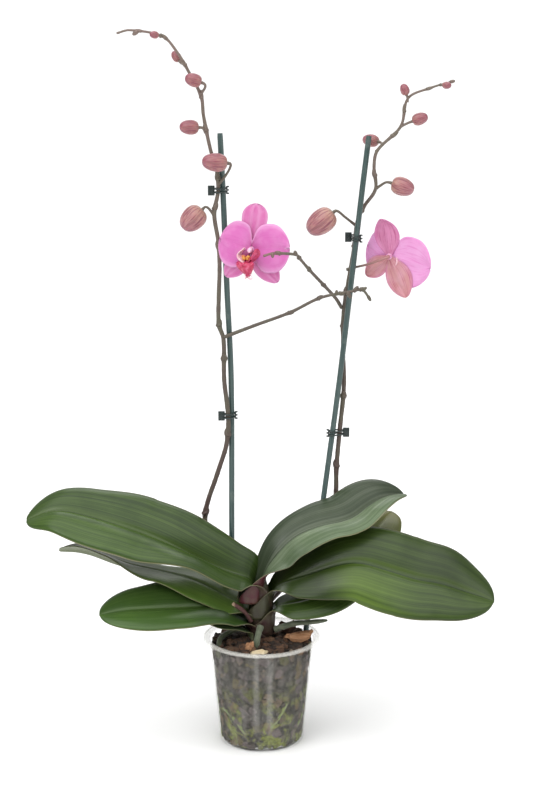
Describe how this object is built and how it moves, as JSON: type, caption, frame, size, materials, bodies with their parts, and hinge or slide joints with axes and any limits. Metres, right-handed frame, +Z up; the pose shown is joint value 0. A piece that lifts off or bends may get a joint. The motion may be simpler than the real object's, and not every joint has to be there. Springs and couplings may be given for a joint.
{
  "type": "potted orchid",
  "caption": "Moth orchid in a clear pot of bark: arching strap leaves, branched flower spikes with open flowers and buds, held to green stakes by spring clips.",
  "frame": {"origin": "centre of the pot's flat base, on the surface that it stands on", "axes": "+Z up along the pot's axis and the stakes, -Y towards the front that the open flower faces, +X to the right"},
  "size_m": [0.4785, 0.1711, 0.7241],
  "materials": {
    "frosted_plastic": "translucent, frosted",
    "bark_mix": "damp, rough",
    "bark_chip": "rough",
    "pale_chip": "rough",
    "stem_skin": "waxy",
    "leaf_green": "waxy, satin",
    "old_leaf_green": "waxy, dull",
    "spike_skin": "satin",
    "dry_spike": "dry",
    "root_silver_green": "velvety",
    "root_green": "velvety",
    "bud_rose": "satin",
    "petal_pink": "satin petal",
    "sepal_rose": "satin petal",
    "lip_crimson": "waxy",
    "column_pale_pink": "waxy",
    "stake_teal_green": "painted, satin",
    "clip_dark_green": "satin"
  },
  "bodies": {
    "root": {"aerial_root_front": "root_silver_green", "aerial_root_left": "root_silver_green", "aerial_root_right": "root_silver_green", "back_flower_column": "column_pale_pink", "back_flower_dorsal_sepal": "sepal_rose", "back_flower_left_petal": "petal_pink", "back_flower_left_sepal": "sepal_rose", "back_flower_lip": "lip_crimson", "back_flower_right_petal": "petal_pink", "back_flower_right_sepal": "sepal_rose", "bark_chip_back": "bark_chip", "bark_chip_cream": "pale_chip", "bark_chip_orange": "bark_chip", "bark_chip_right": "bark_chip", "clip_left_lower": "clip_dark_green", "clip_left_upper": "clip_dark_green", "clip_right_lower": "clip_dark_green", "clip_right_upper": "clip_dark_green", "front_flower_column": "column_pale_pink", "front_flower_dorsal_sepal": "sepal_rose", "front_flower_left_petal": "petal_pink", "front_flower_left_sepal": "sepal_rose", "front_flower_lip": "lip_crimson", "front_flower_right_petal": "petal_pink", "front_flower_right_sepal": "sepal_rose", "leaf_left_lower": "leaf_green", "leaf_left_middle": "leaf_green", "leaf_left_remnant": "old_leaf_green", "leaf_left_upper": "leaf_green", "leaf_right_lower": "old_leaf_green", "leaf_right_middle": "leaf_green", "leaf_right_upper": "leaf_green", "left_bud_1": "bud_rose", "left_bud_2": "bud_rose", "left_bud_3": "bud_rose", "left_bud_4": "bud_rose", "left_bud_5": "bud_rose", "left_bud_6": "bud_rose", "left_spike": "spike_skin", "left_stake": "stake_teal_green", "nursery_pot": "frosted_plastic", "old_spike_stub": "dry_spike", "plant_stem": "stem_skin", "pot_root_front_left": "root_green", "pot_root_front_right": "root_green", "pot_root_left": "root_green", "pot_root_right": "root_green", "potting_mix": "bark_mix", "right_bud_1": "bud_rose", "right_bud_2": "bud_rose", "right_bud_3": "bud_rose", "right_bud_4": "bud_rose", "right_bud_5": "bud_rose", "right_bud_6": "bud_rose", "right_spike": "spike_skin", "right_stake": "stake_teal_green"}
  },
  "joints": []
}
